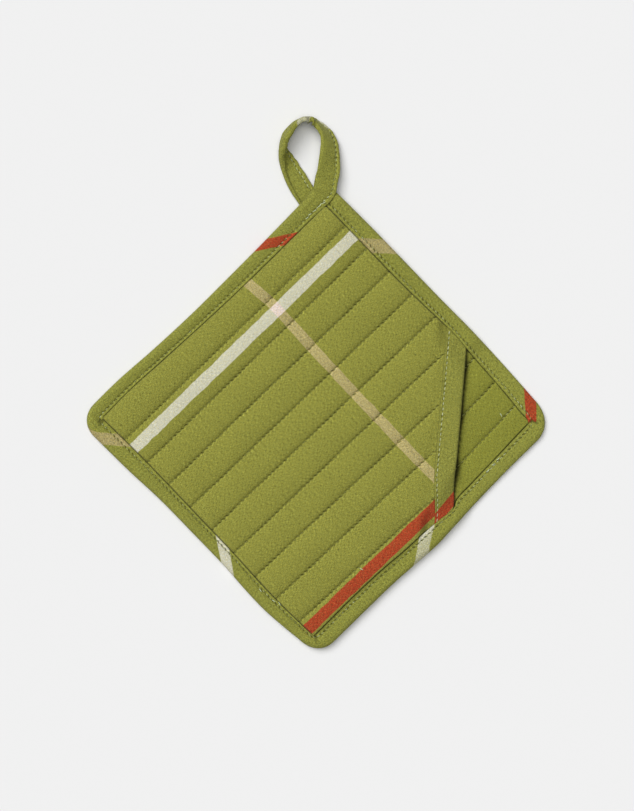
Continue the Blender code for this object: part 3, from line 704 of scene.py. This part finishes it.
# the red stripe at the right corner runs straight to the mitre: unturned places on its borders and the ways in
cornerStripe = [
    ((135.0, 19.5), (1, 0.07)), ((143.0, 0.0), (-1, 0)), ((140.1, -0.4), (-0.56, 0.83)), ((140.1, -0.4), (0.37, 0.93)),
]
outside = -9.0  # in millimetres, for what lies on no stripe
half = len(foldPoints) + len(roundPoints)  # columns on each of its faces
columns = np.arange(2 * half + 5) % (2 * half + 4)
inner = columns >= 2 * half
mirrored = np.where(columns < half, columns, 2 * half - 1 - np.minimum(columns, 2 * half - 1))
planWidths = np.linalg.norm(stripPoints[:, half - 1, :2] - stripPoints[:, 1, :2], axis=1)
widths = np.where(onLoop, binding["folded"], planWidths)
bend = 1 - np.cos(np.radians([0] * len(foldPoints) + roundPoints))
reaches = np.array([r for r, _ in foldPoints] + [binding["width"] - binding["round"]] * len(roundPoints))
scaled = (widths[row] - binding["round"]) / (binding["width"] - binding["round"])
reach = np.where(onLoop[row], loopReach(reaches[mirrored[column]]), reaches[mirrored[column]] * scaled)
stitchReach = np.where(onLoop[row], loopReach(binding["stitches"]), binding["stitches"] * scaled)
reach = np.where(mirrored[column] >= len(foldPoints), widths[row] - binding["round"] * bend[mirrored[column]], reach)
fromFold = np.where(inner[column], -0.5, reach - 0.3 * (mirrored[column] < 2))
reach = np.where(columns[column] < half, reach, 2 * widths[row] - reach)
spans = {name: np.full(len(column), outside) for name in front["stripes"]}
wobble = 0.35 * softNoise(stripAt[row] / 4, reach / 3, 73)
stationBy = lambda place, j: np.linalg.norm(stripPoints[:, j, :2] - np.array(place), axis=1).argmin()
for name, atFold, atEdge, width, fading in stripStripes:
    first, last = stationBy(atFold, 1), stationBy(atEdge, half - 1)
    slope = (stripAt[last] - stripAt[first]) / widths[first]
    away = np.abs(stripAt[row] - stripAt[first] - slope * reach + wobble)
    inside = (width / 2 - away) / math.hypot(1, slope)
    if fading:
        inside = np.minimum(inside, 0.16 - fading * ease(reach / 5))
    spans[name] = np.maximum(spans[name], inside)
# the loop's twist hides the middle of its cream stripe
ends = np.clip(np.maximum(3.1 - reach, reach - 9.5), outside, 0.04)
spans["creamStripe"] = np.where(onLoop[row], np.clip(spans["creamStripe"], outside, ends), spans["creamStripe"])
places = toWorld(stripPoints[row, column % (2 * half + 4)])[:, :2] * 1000
left, right, below, under = ((places - place) @ (np.array(way) / np.hypot(*way)) for place, way in cornerStripe)
within = np.minimum(np.minimum(left, right) + 0.3 * wobble, np.maximum(below, under))
spans["redStripe"] = np.maximum(spans["redStripe"], np.clip(within, outside, -outside))
besideSeam = np.abs(reaches[mirrored[column]] - binding["stitches"]) < 1.6
# seam, fold and crease place painted shade on the binding: along its stitches, at its fold and in its creases, with
# painted light on part of the loop
setMarks(
    bindingPiece, spans, seam=np.minimum(reach, 2 * widths[row] - reach) - stitchReach,
    turn=stripAt[row] / stitch["length"],
    near=(besideSeam & ~inner[column] & (mirrored[column] < len(foldPoints))).astype(float),
    fold=1.5 * fromFold + 0.12 * softNoise(stripAt[row] / 8, 0 * reach, 85),
    crease=stripPaintedShading[row, column % (2 * half + 4)],
)
closeStrip(bindingPiece)
print("binding and loop made", stripPoints.shape)

# the band round the mouth, across from its outer edge: distance, and height over its layers in thicknesses of its cloth
bandFront = [
    (13.9, 0.0), (14.0, 0.5), (13.85, 0.95), (13.5, 1.2), (13.0, 1.2), (12.5, 0.85), (12.1, 0.4), (11.7, 0.7),
    (11.1, 0.95), (9.8, 1.15), (8.0, 1.35), (6.0, 1.5), (4.2, 1.6), (2.6, 1.6), (1.5, 1.5), (0.7, 1.1), (0.2, 0.1),
]


def mouthEnd(start, way):
    reach = 0.0
    for _ in range(12):
        place = start + mouthRun * reach
        if way < 0:
            over = fold["upperRight"](place[1]) + mouth["tuck"] - place[0]
            reach -= over / abs(mouthRun[0])
        else:
            over = place[1] + fold["lowerRight"](place[0]) + mouth["tuck"]
            reach += over / abs(mouthRun[1])
    return reach


def bandShape():
    around = (
        [(d, level, "front") for d, level in bandFront] + [(0.0, 0.0, "middle")]
        + [(d, level, "back") for d, level in reversed(bandFront)]
        + [(1.7, 0.0, "back"), (1.3, 0.0, "middle"), (1.7, 0.0, "front")]
    )
    stations = 160
    columns = []
    for distance, level, part in around:
        start = mouth["start"] + mouthInwards * distance
        reach = np.linspace(mouthEnd(start, -1), mouthEnd(start, 1), stations)
        # it narrows towards its lower end, which spreads a little as it goes under the binding
        spread = 0.7 * ease((reach - 95) / 6) - 0.5 * hill(reach - 86, 9)
        spread = mix(spread, 3.0 * ease((reach - 83) / 34), distance / mouth["band"])
        x, y = (start[None] + mouthRun[None] * reach[:, None] - mouthInwards[None] * spread[:, None]).T
        low, high = lipHeights(x, y)
        share = (low - mouth["lipEnd"][0]) / (mouth["lipMiddle"][0] - mouth["lipEnd"][0])
        wall, gap = mix(*mouth["wall"], share), mix(*mouth["gap"], share)
        up, down = high + gap, low - gap
        holes = np.cos(reach * 2 * math.pi / stitch["length"]) * hill(distance - mouth["seam"], 0.55)
        swell = 0.22 * softNoise(reach / 9, reach * 0 + distance / 6, 51)
        swell = swell + 0.1 * softNoise(reach / 3.5, reach * 0 + distance / 3, 52)
        swell = (swell * float(ease((11.5 - distance) / 3)) - 0.25 * holes) * share
        if part == "front":
            z = np.maximum(up + wall * mix(min(level, 1.0), level, share) + swell, up)
        elif part == "back":
            z = down - wall * mix(min(level, 1.0), min(level, 1.05), share)
        else:
            z = (up + down) / 2
        columns.append(np.stack([x, y, z], axis=-1))
    return np.stack(columns, axis=1)


bandPoints = bandShape()
bandAt = np.linspace(0, mouth["length"], len(bandPoints))
bandAcross = np.append(lengthsAlong(bandPoints[80]), 60)
bandPiece, column, row = loftedStrip("mouthBand", bandPoints, bandAt, bandAcross)
flatX, flatY = bandPoints[row, column % bandPoints.shape[1], :2].T
spans = {name: np.full(len(column), outside) for name in front["stripes"]}
spans["redStripe"] = 3.1 - np.abs(flatY + 100.5 - 0.09 * (flatX - 12.5))
bandReach = np.array([d for d, _ in bandFront])
bandReach = np.concatenate([bandReach, [0], bandReach[::-1], [14.6] * 4])[column]
onFront = column < len(bandFront)
# seam and fold place painted shade on the band: along its stitches and at its fold
setMarks(
    bandPiece, spans, seam=mouth["seam"] - bandReach, turn=bandAt[row] / mouth["length"] * mouth["stitches"],
    near=(onFront & (np.abs(bandReach - mouth["seam"]) < 1.2)).astype(float),
    fold=1.5 * (mouth["band"] - bandReach) * onFront - 0.3 * (column < 1), crease=0.0 * flatX,
)
closeStrip(bandPiece)
print("mouth band made")

# where the thread lies paler: place, how far around, how pale
paleSpots = [
    ((102.3, 97.2), 13, 1.0), ((-99.5, 99.5), 14, 0.8), ((-104.1, -56.8), 6, 0.9), ((94.9, -82.9), 16, 1.0),
    ((47.5, -107.3), 14, 0.8), ((128.5, 121.5), 18, 0.6), ((103.0, 60.0), 30, 0.45), ((102.0, 0.0), 24, 0.4),
    ((102.0, 121.0), 24, 1.0), ((60.7, -102.5), 13, 1.0), ((-72.4, -101.4), 16, 0.8), ((-99.2, -100.2), 7, 0.9),
    ((60.0, 101.5), 30, 0.4),
]


def sewnRun(name, paths, pale=0.0):
    # one stitch is modelled once and repeated along each path: its points, its upward directions and first hole
    bpy.ops.object.select_all(action="DESELECT")
    bpy.ops.mesh.primitive_uv_sphere_add(segments=6, ring_count=6, radius=1)
    piece = bpy.context.object
    piece.name = piece.data.name = name
    starts = []
    for points, ups, first in paths:
        gone = lengthsAlong(points)
        count = int((gone[-1] - first) / stitch["length"])
        starts += [(points, ups, gone, first + stitch["length"] * i) for i in range(count)]
    array = piece.modifiers.new("repeat", "ARRAY")
    array.count = len(starts)
    bpy.ops.object.modifier_apply(modifier="repeat")
    template = meshPoints(piece).reshape(len(starts), -1, 3)[0]
    template = template - template.mean(axis=0)
    random = np.random.RandomState(len(starts))
    placed, paleness = [], []
    for points, ups, gone, start in starts:
        slack, turned, thick = random.uniform(-0.05, 0.1), random.normal(0, 0.06), random.uniform(0.85, 1.15)
        along = start + stitch["length"] * (0.5 + 0.43 * template[:, 2])
        at = lambda s: np.stack([np.interp(s, gone, column) for column in points.T], axis=-1)
        up = np.stack([np.interp(along, gone, column) for column in ups.T], axis=-1)
        run = at(along + 0.3) - at(along - 0.3)
        run /= np.linalg.norm(run, axis=1)[:, None]
        side = np.cross(run, up)
        radius = stitch["round"] * thick * np.sqrt(np.clip(1.02 - template[:, 2] ** 2, 0, 1)) ** 0.3
        arch = slack + 0.3 * (1 - template[:, 2] ** 2) - 0.2
        spot = at(along) + side * (template[:, 0] * radius + (turned + stitch["slant"] * template[:, 2]))[:, None]
        placed.append(spot + up * (template[:, 1] * radius + arch)[:, None])
        middle = placed[-1].mean(axis=0)
        near = [much * (1 - math.dist(middle[:2], place) / size) for place, size, much in paleSpots if up[0][2] > 0]
        paleness += [float(np.clip(max(near + [0]) + pale + random.normal(0, 0.14), 0, 1))] * len(template)
    setPoints(piece, toWorld(np.concatenate(placed)))
    setAttribute(piece, "pale", paleness)
    return piece


def quiltingPaths(panel, heights, level, sign):
    paths = []
    for number, line in enumerate(panel["lines"]):
        x = np.arange(-107, 110, 0.4)
        y = lineAt(line, x) - waver(panel, number, x)
        shown = np.min(insideFolds(x, y), axis=0) > -0.5
        if panel is front:
            shown &= insideMouth(x, y) > mouth["band"] - 0.6
        x, y = x[shown], y[shown]
        if len(x) > 20:
            z = heights(x, y)[level]
            ups = np.tile([0.0, 0.0, float(sign)], (len(x), 1))
            first = (linePhase(panel, number) - x[0]) % stitch["length"]
            paths.append((np.stack([x, y, z + sign * 0.25], axis=-1), ups, first))
    return paths


quiltingFront = sewnRun("quiltingStitches", quiltingPaths(front, frontHeights, 1, 1))
quiltingBack = sewnRun(
    "backQuiltingStitches", quiltingPaths(back, backHeights, 0, -1) + quiltingPaths(back, backHeights, 1, 1)
)
clear = slice(8, -14)  # all but the strip's hidden ends
edgeStitches = sewnRun("edgeStitches", [
    (stripPoints[clear, seamColumn], stripFaces[clear], (-8 * step) % stitch["length"]),
    (stripPoints[clear, 2 * half - 1 - seamColumn], -stripFaces[clear], (-8 * step) % stitch["length"]),
])
bandStitches = sewnRun("mouthStitches", [
    (bandPoints[6:-6, 6], np.tile([0.0, 0.0, 1.0], (len(bandPoints) - 12, 1)), 0.5),
], pale=0.5)

# loose ends and thicker places of the thread, unturned: both ends and height
looseEnds = [
    ((27.6, -95.9), (32.2, -98.1), 9.3), ((31.6, -91.9), (34.0, -94.4), 9.3), ((-37.6, -109.4), (-34.4, -112.6), 6.8),
    ((-29.4, -116.8), (-25.6, -118.4), 6.8), ((-25.2, -118.2), (-22.4, -121.6), 6.8), ((119.0, 4.6), (121.6, 1.0), 4.6),
    ((118.9, -23.9), (116.4, -27.2), 4.7), ((115.9, -27.6), (112.6, -30.8), 4.7), ((112.2, -31.4), (109.6, -34.7), 4.7),
    ((-5.8, 132.6), (-1.4, 136.8), 8.4), ((-2.6, 135.0), (1.8, 139.2), 8.6), ((0.6, 138.0), (4.2, 141.6), 8.7),
    ((3.2, 140.2), (7.2, 143.2), 8.8), ((-7.4, 130.2), (-3.6, 134.2), 8.3),
]
paths = []
for start, end, height in looseEnds:
    t = np.linspace(0, 1, 9)[:, None]
    points = mix(np.array(start), np.array(end), t) + 0.5 * np.sin(t * math.pi * 1.5) * np.array([0.6, -0.4])
    points = np.column_stack([fromUpright(points), np.full(9, height)])
    paths.append((points, np.tile([0.0, 0.0, 1.0], (9, 1)), 0.0))
looseThreads = sewnRun("looseThreads", paths, pale=0.9)
print("stitches sewn")

# each cloth's green, its slubs' strength both ways and its grain, how dark its seams' painted shade is, how bright its
# tan
cloths = {
    "front": {"green": (0.242, 0.241, 0.043), "slubs": (2.7, 1.1), "grain": 3.0, "seam": 0.9, "tan": 1.0},
    "back": {"green": (0.216, 0.221, 0.033), "slubs": (0.8, 2.2), "grain": 2.2, "seam": 0.9, "tan": 1.0},
    "binding": {"green": (0.232, 0.237, 0.043), "slubs": (2.2, 2.2), "grain": 3.0, "seam": 0.95, "tan": 0.9},
    "band": {"green": (0.230, 0.232, 0.044), "slubs": (2.4, 1.8), "grain": 3.0, "seam": 0.7, "tan": 1.0},
}
dyes = {
    "cream": (0.585, 0.568, 0.432), "tan": (0.410, 0.342, 0.142), "red": (0.356, 0.039, 0.0140),
    "crossing": (0.73, 0.61, 0.53), "fleck": (0.27, 0.27, 0.08),
}
yarn = 0.42  # millimetres between yarns
# painted shade and light: the seams' zigzag, how much painted shadow at folds and creases darkens the cloth, and how
# much the painted highlight on beads lightens it
paintedShadeAndLight = {"zigzag": 0.33, "fold": 0.5, "crease": 0.5, "beadHighlight": 0.3}  # how much each darkens the cloth, or lightens it


def newMaterial(name):
    material = bpy.data.materials.new(name)
    material.use_nodes = True
    nodes = material.node_tree.nodes
    return material, nodes, material.node_tree.links, nodes["Principled BSDF"]


def setSockets(shader, values):
    for socket, value in values.items():
        shader.inputs[socket].default_value = value


def clothMaterial(name, settings):
    material, nodes, links, shader = newMaterial(name)

    def feed(socket, value):
        if hasattr(value, "is_output"):
            links.new(value, socket)
        elif isinstance(value, tuple) and len(value) == 3 and len(socket.default_value) == 4:
            socket.default_value = (*value, 1.0)
        else:
            socket.default_value = value

    def calc(operation, a, b=0.0):
        node = nodes.new("ShaderNodeMath")
        node.operation = operation
        feed(node.inputs[0], a)
        feed(node.inputs[1], b)
        return node.outputs[0]

    def times(first, *others):
        for other in others:
            first = calc("MULTIPLY", first, other)
        return first

    def plus(first, *others):
        for other in others:
            first = calc("ADD", first, other)
        return first

    def less(a, b):
        return calc("SUBTRACT", a, b)

    def blendColours(share, a, b):
        node = nodes.new("ShaderNodeMix")
        node.data_type = "RGBA"
        feed(node.inputs[0], share)
        feed(node.inputs[6], a)
        feed(node.inputs[7], b)
        return node.outputs[2]

    def noise(vector, scale, detail, roughness=0.5):
        mapping = nodes.new("ShaderNodeMapping")
        mapping.inputs["Scale"].default_value = scale
        links.new(vector, mapping.inputs["Vector"])
        node = nodes.new("ShaderNodeTexNoise")
        node.inputs["Scale"].default_value = 1.0
        node.inputs["Detail"].default_value = detail
        node.inputs["Roughness"].default_value = roughness
        links.new(mapping.outputs["Vector"], node.inputs["Vector"])
        return node.outputs["Fac"]

    def attribute(name):
        node = nodes.new("ShaderNodeAttribute")
        node.attribute_name = name
        return node.outputs["Fac"]

    def ramp(value, low, high):
        # 0 at low and 1 at high, or the other way round where low is the larger
        ranged = nodes.new("ShaderNodeMapRange")
        ranged.inputs["From Min"].default_value = low
        ranged.inputs["From Max"].default_value = high
        links.new(value, ranged.inputs["Value"])
        return ranged.outputs["Result"]

    uv = nodes.new("ShaderNodeUVMap")
    uv.uv_map = "weave"
    weave = uv.outputs["UV"]
    split = nodes.new("ShaderNodeSeparateXYZ")
    links.new(weave, split.inputs[0])
    # slubs along both sets of yarns, a fine grain and slow unevenness of the dye
    slubsAlong = noise(weave, (0.6, 4.2, 1.0), 1.0)
    slubsAcross = noise(weave, (4.2, 0.6, 1.0), 1.0)
    grain = noise(weave, (3.6, 3.6, 1.0), 1.0, 0.7)
    slow = noise(weave, (0.035, 0.05, 1.0), 2.0)
    # a stripe's yarns cross green ones, which show between them as flecks
    flecks = times(ramp(noise(weave, (1.5, 3.4, 3.0), 1.0, 0.6), 0.52, 0.7), 0.66)
    tanned = {**dyes, "tan": tuple(part * settings["tan"] for part in dyes["tan"])}
    dyed = lambda dye, share: blendColours(times(flecks, share), tanned[dye], dyes["fleck"])
    cream, red, tan = (ramp(attribute(stripe), -0.15, 0.15) for stripe in ("creamStripe", "redStripe", "tanStripe"))
    colour = blendColours(tan, settings["green"], dyed("tan", 0.7))
    colour = blendColours(red, colour, dyed("red", 0.8))
    colour = blendColours(cream, colour, blendColours(tan, dyed("cream", 1.0), dyed("crossing", 0.4)))
    # yarns that took the dye greener or greyer
    shade = noise(weave, (1.3, 1.3, 5.0), 1.0, 0.7)
    tint = blendColours(ramp(shade, 0.35, 0.65), (1.045, 0.985, 0.8), (0.955, 1.015, 1.2))
    tone = times(less(slubsAlong, 0.5), settings["slubs"][0])
    tone = plus(tone, times(less(slubsAcross, 0.5), settings["slubs"][1]), times(less(grain, 0.5), settings["grain"]))
    tone = times(tone, less(1.0, times(cream, 0.45)))  # bleached yarns are the evenest
    tone = plus(tone, times(less(slow, 0.5), 0.16), 1.0)
    tone = calc("MAXIMUM", tone, 0.3)
    # seams: painted shade in a dark zigzag of dashes from hole to hole, and a painted highlight on the beads of cloth
    # beside it
    turn = times(attribute("turn"), 2 * math.pi)
    zigzag = plus(attribute("seam"), times(calc("SINE", turn), paintedShadeAndLight["zigzag"]))
    holes = calc("COSINE", turn)
    near = attribute("near")
    dashes = plus(times(holes, 0.5), 0.55)
    seam = times(ramp(calc("ABSOLUTE", zigzag), 0.45, 0.12), dashes, near)
    beside = ramp(calc("ABSOLUTE", plus(zigzag, 0.95)), 0.6, 0.15)
    beadHighlight = times(beside, less(0.5, times(holes, 0.5)), near)
    tone = times(tone, less(1.0, times(seam, settings["seam"])), plus(1.0, times(beadHighlight, paintedShadeAndLight["beadHighlight"])))
    # painted shadow at the folds of the binding and band, and just inside the folds on the panels
    tone = times(tone, less(1.0, times(ramp(attribute("fold"), 0.45, 0.05), paintedShadeAndLight["fold"])))
    # painted shade in creases, beside the mouth band and at the binding's mitres, and painted light on part of the loop
    tone = times(tone, less(1.0, times(attribute("crease"), paintedShadeAndLight["crease"])))
    tinted, shaded = nodes.new("ShaderNodeVectorMath"), nodes.new("ShaderNodeVectorMath")
    tinted.operation, shaded.operation = "MULTIPLY", "SCALE"
    links.new(colour, tinted.inputs[0])
    links.new(tint, tinted.inputs[1])
    links.new(tinted.outputs[0], shaded.inputs[0])
    links.new(tone, shaded.inputs["Scale"])
    links.new(shaded.outputs[0], shader.inputs["Base Color"])
    # plain weave: warp over weft, then weft over warp
    waves = [calc("SINE", times(split.outputs[axis], math.pi / yarn)) for axis in (0, 1)]
    relief = plus(times(slubsAlong, 0.16), times(slubsAcross, 0.16), times(*waves, 0.05))
    bump = nodes.new("ShaderNodeBump")
    bump.inputs["Strength"].default_value = 0.5
    bump.inputs["Distance"].default_value = 0.0006
    links.new(relief, bump.inputs["Height"])
    links.new(bump.outputs["Normal"], shader.inputs["Normal"])
    setSockets(shader, {"Roughness": 0.92, "Specular IOR Level": 0.12, "Sheen Weight": 0.05, "Sheen Roughness": 0.5})
    return material


def threadMaterial(name, colour, paleColour):
    material, nodes, links, shader = newMaterial(name)
    pale = nodes.new("ShaderNodeAttribute")
    pale.attribute_name = "pale"
    tones = nodes.new("ShaderNodeMix")
    tones.data_type = "RGBA"
    tones.inputs[6].default_value = (*colour, 1)
    tones.inputs[7].default_value = (*paleColour, 1)
    links.new(pale.outputs["Fac"], tones.inputs[0])
    links.new(tones.outputs[2], shader.inputs["Base Color"])
    setSockets(shader, {"Roughness": 0.7, "Specular IOR Level": 0.3})
    return material


def dress(piece, material, replaced):
    piece.data.materials.append(material)
    inEditMode(piece, ("normals_make_consistent", {"inside": False}))
    for polygon in piece.data.polygons:
        polygon.use_smooth = True
    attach(piece, "root")
    for node in replaced:
        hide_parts(node)


for piece, cloth, slot, replaced in (
    (frontPiece, "front", "front_cloth", ["pocket_panel"]), (backPiece, "back", "back_cloth", ["back_panel"]),
    (bindingPiece, "binding", "binding_cloth", ["edge_binding", "hanging_loop"]),
    (bandPiece, "band", "binding_cloth", ["mouth_binding"]),
):
    dress(piece, clothMaterial(cloth + " cloth", cloths[cloth]), replaced)
for piece, thread, colour, paleColour, slot in (
    (quiltingFront, "quilting thread", (0.23, 0.24, 0.05), (0.34, 0.36, 0.12), "front_cloth"),
    (quiltingBack, "back quilting thread", (0.24, 0.25, 0.06), (0.36, 0.38, 0.16), "back_cloth"),
    (edgeStitches, "edge thread", (0.31, 0.34, 0.11), (0.60, 0.66, 0.40), "binding_cloth"),
    (looseThreads, "loose thread", (0.45, 0.50, 0.26), (0.56, 0.64, 0.40), "binding_cloth"),
    (bandStitches, "mouth thread", (0.40, 0.45, 0.20), (0.66, 0.70, 0.46), "binding_cloth"),
):
    dress(piece, threadMaterial(thread, colour, paleColour), [])
print("materials made")

bpy.ops.mesh.primitive_plane_add(size=6, location=(0, 0, 0))
floor = bpy.context.object
floor.name = "floor"
floorPaint, _, _, floorShader = newMaterial("floor paint")
setSockets(floorShader, {"Base Color": (0.8, 0.8, 0.8, 1), "Roughness": 1.0, "Specular IOR Level": 0.0})
floor.data.materials.append(floorPaint)

# studio light: a wide key light from the upper left, one overhead, and the room; angles in degrees
light = {"elevation": 54, "spread": 40, "key": 2.15, "overhead": 1.18, "overheadSpread": 35, "sky": 0.167}


def addSun(name, strength, spread, shine):
    sun = bpy.data.lights.new(name, "SUN")
    sun.energy = strength
    sun.angle = math.radians(spread)
    placed = bpy.data.objects.new(name, sun)
    bpy.context.scene.collection.objects.link(placed)
    placed.rotation_euler = Vector(shine).to_track_quat("-Z", "Y").to_euler()


addSun("key", light["key"], light["spread"], (1, -1, -math.sqrt(2) * math.tan(math.radians(light["elevation"]))))
addSun("overhead", light["overhead"], light["overheadSpread"], (0, 0, -1))
world = bpy.data.worlds.new("studio")
bpy.context.scene.world = world
world.use_nodes = True
world.node_tree.nodes["Background"].inputs["Color"].default_value = (1, 1, 1, 1)
world.node_tree.nodes["Background"].inputs["Strength"].default_value = light["sky"]
bpy.context.scene.view_settings.view_transform = "Standard"

# the photograph's view from straight above: 0.65 mm to a pixel at the object's mean height
view = {"middle": (0.000325, 0.009425), "height": 2.2, "pixel": 0.65, "pixels": 811, "level": 0.006}
camera = bpy.data.cameras.new("camera")
camera.sensor_fit = "VERTICAL"
camera.sensor_height = 24
camera.lens = camera.sensor_height * (view["height"] - view["level"]) / (view["pixel"] * view["pixels"] * 0.001)
cameraObject = bpy.data.objects.new("camera", camera)
cameraObject.location = (*view["middle"], view["height"])
bpy.context.scene.collection.objects.link(cameraObject)
bpy.context.scene.camera = cameraObject
